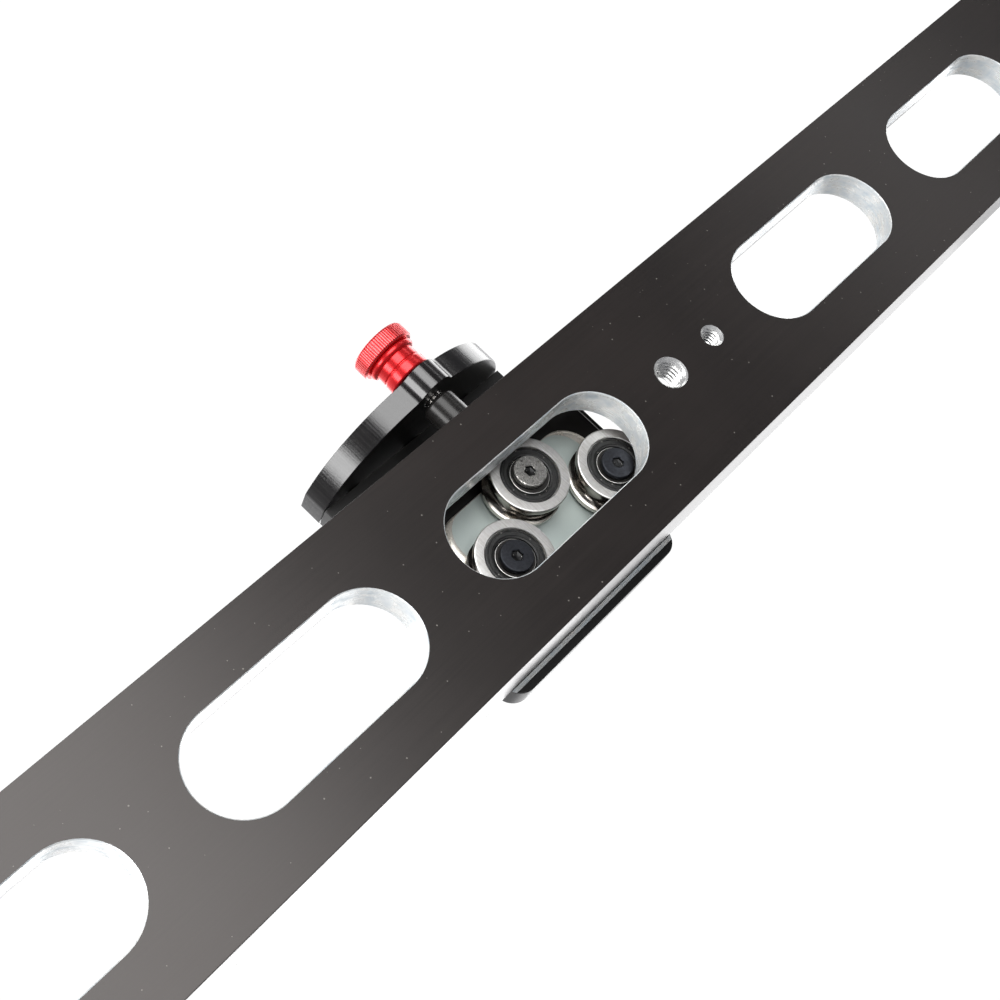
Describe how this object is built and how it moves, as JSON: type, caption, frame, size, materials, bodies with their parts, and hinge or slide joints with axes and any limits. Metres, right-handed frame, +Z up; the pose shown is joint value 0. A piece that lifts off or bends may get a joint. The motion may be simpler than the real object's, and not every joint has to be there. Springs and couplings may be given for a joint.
{
  "type": "camera slider",
  "caption": "Slotted channel rail with a roller carriage between steel track rods, a flat camera plate and a side screw brake with a red knurled knob.",
  "frame": {"origin": "on the rail's flat underside, midway between the two tripod threads", "axes": "+X along the rail, +Y across it and away from the brake knob, +Z up through the carriage plate"},
  "size_m": [0.6176, 0.0988, 0.0615],
  "materials": {
    "black_anodised": "black anodised, satin",
    "black_anodised_brake": "black anodised, turned",
    "satin_aluminium": "clear anodised, satin",
    "bearing_steel": "ground and polished",
    "bright_steel": "ground",
    "dark_steel": "black oxide",
    "black_rubber": "matt",
    "red_anodised": "red anodised, knurled",
    "white_nylon": "moulded"
  },
  "bodies": {
    "rail": {"rail_body": "black_anodised", "track_rod_brake_side": "bright_steel", "track_rod_far_side": "bright_steel", "end_plate_left": "black_anodised", "end_plate_right": "black_anodised", "end_screw_left_brake_side": "dark_steel", "end_screw_left_far_side": "dark_steel", "end_screw_right_brake_side": "dark_steel", "end_screw_right_far_side": "dark_steel", "bumper_left": "black_rubber", "bumper_right": "black_rubber"},
    "carriage": {"carriage_plate": "black_anodised", "carriage_block": "black_anodised", "roller_plate": "satin_aluminium", "brake_apron": "black_anodised", "apron_screw_1": "dark_steel", "apron_screw_2": "dark_steel", "apron_screw_3": "dark_steel", "carriage_screw_left_brake_side": "dark_steel", "carriage_screw_left_far_side": "dark_steel", "carriage_screw_right_brake_side": "dark_steel", "carriage_screw_right_far_side": "dark_steel", "camera_stud": "bright_steel", "camera_pad": "black_rubber", "roller_eccentric_inner_ring": "bearing_steel", "roller_eccentric_bush": "bearing_steel", "roller_eccentric_spacer": "bearing_steel", "roller_eccentric_axle_screw": "dark_steel", "roller_left_inner_ring": "bearing_steel", "roller_left_bush": "bearing_steel", "roller_left_spacer": "bearing_steel", "roller_left_axle_screw": "dark_steel", "roller_right_inner_ring": "bearing_steel", "roller_right_bush": "bearing_steel", "roller_right_spacer": "bearing_steel", "roller_right_axle_screw": "dark_steel"},
    "roller_eccentric": {"roller_eccentric_outer_ring": "bearing_steel", "roller_eccentric_ball_cage": "bearing_steel", "roller_eccentric_seal_front": "black_rubber", "roller_eccentric_seal_back": "black_rubber"},
    "roller_left": {"roller_left_outer_ring": "bearing_steel", "roller_left_ball_cage": "bearing_steel", "roller_left_seal_front": "black_rubber", "roller_left_seal_back": "black_rubber"},
    "roller_right": {"roller_right_outer_ring": "bearing_steel", "roller_right_ball_cage": "bearing_steel", "roller_right_seal_front": "black_rubber", "roller_right_seal_back": "black_rubber"},
    "brake_plunger": {"brake_plunger": "black_anodised_brake", "brake_pad": "white_nylon"},
    "brake_knob": {"brake_knob": "red_anodised", "brake_spindle": "bright_steel"}
  },
  "joints": [
    {"name": "carriage_slide", "type": "slide", "parent": "rail", "child": "carriage", "axis": [1, 0, 0], "range_m": [-0.192, 0.31]},
    {"name": "roller_eccentric_spin", "type": "hinge", "parent": "carriage", "child": "roller_eccentric", "pos_m": [-0.059, -0.0071, 0.0182], "axis": [0, 0, 1], "continuous": true},
    {"name": "roller_left_spin", "type": "hinge", "parent": "carriage", "child": "roller_left", "pos_m": [-0.08115, 0.0071, 0.0182], "axis": [0, 0, 1], "continuous": true},
    {"name": "roller_right_spin", "type": "hinge", "parent": "carriage", "child": "roller_right", "pos_m": [-0.03685, 0.0071, 0.0182], "axis": [0, 0, 1], "continuous": true},
    {"name": "brake_travel", "type": "slide", "parent": "carriage", "child": "brake_plunger", "axis": [0, 1, 0], "range_m": [-0.001, 0.0005]},
    {"name": "brake_turn", "type": "hinge", "parent": "brake_plunger", "child": "brake_knob", "pos_m": [-0.059, -0.0581, 0.0197], "axis": [0, 1, 0], "range_deg": [-361, 181]}
  ],
  "couplings": [
    {"joint": "roller_eccentric_spin", "follows": "carriage_slide", "rad_per_m": -104.17},
    {"joint": "roller_left_spin", "follows": "carriage_slide", "rad_per_m": 104.17},
    {"joint": "roller_right_spin", "follows": "carriage_slide", "rad_per_m": 104.17},
    {"joint": "brake_turn", "follows": "brake_travel", "rad_per_m": 6283.2}
  ]
}
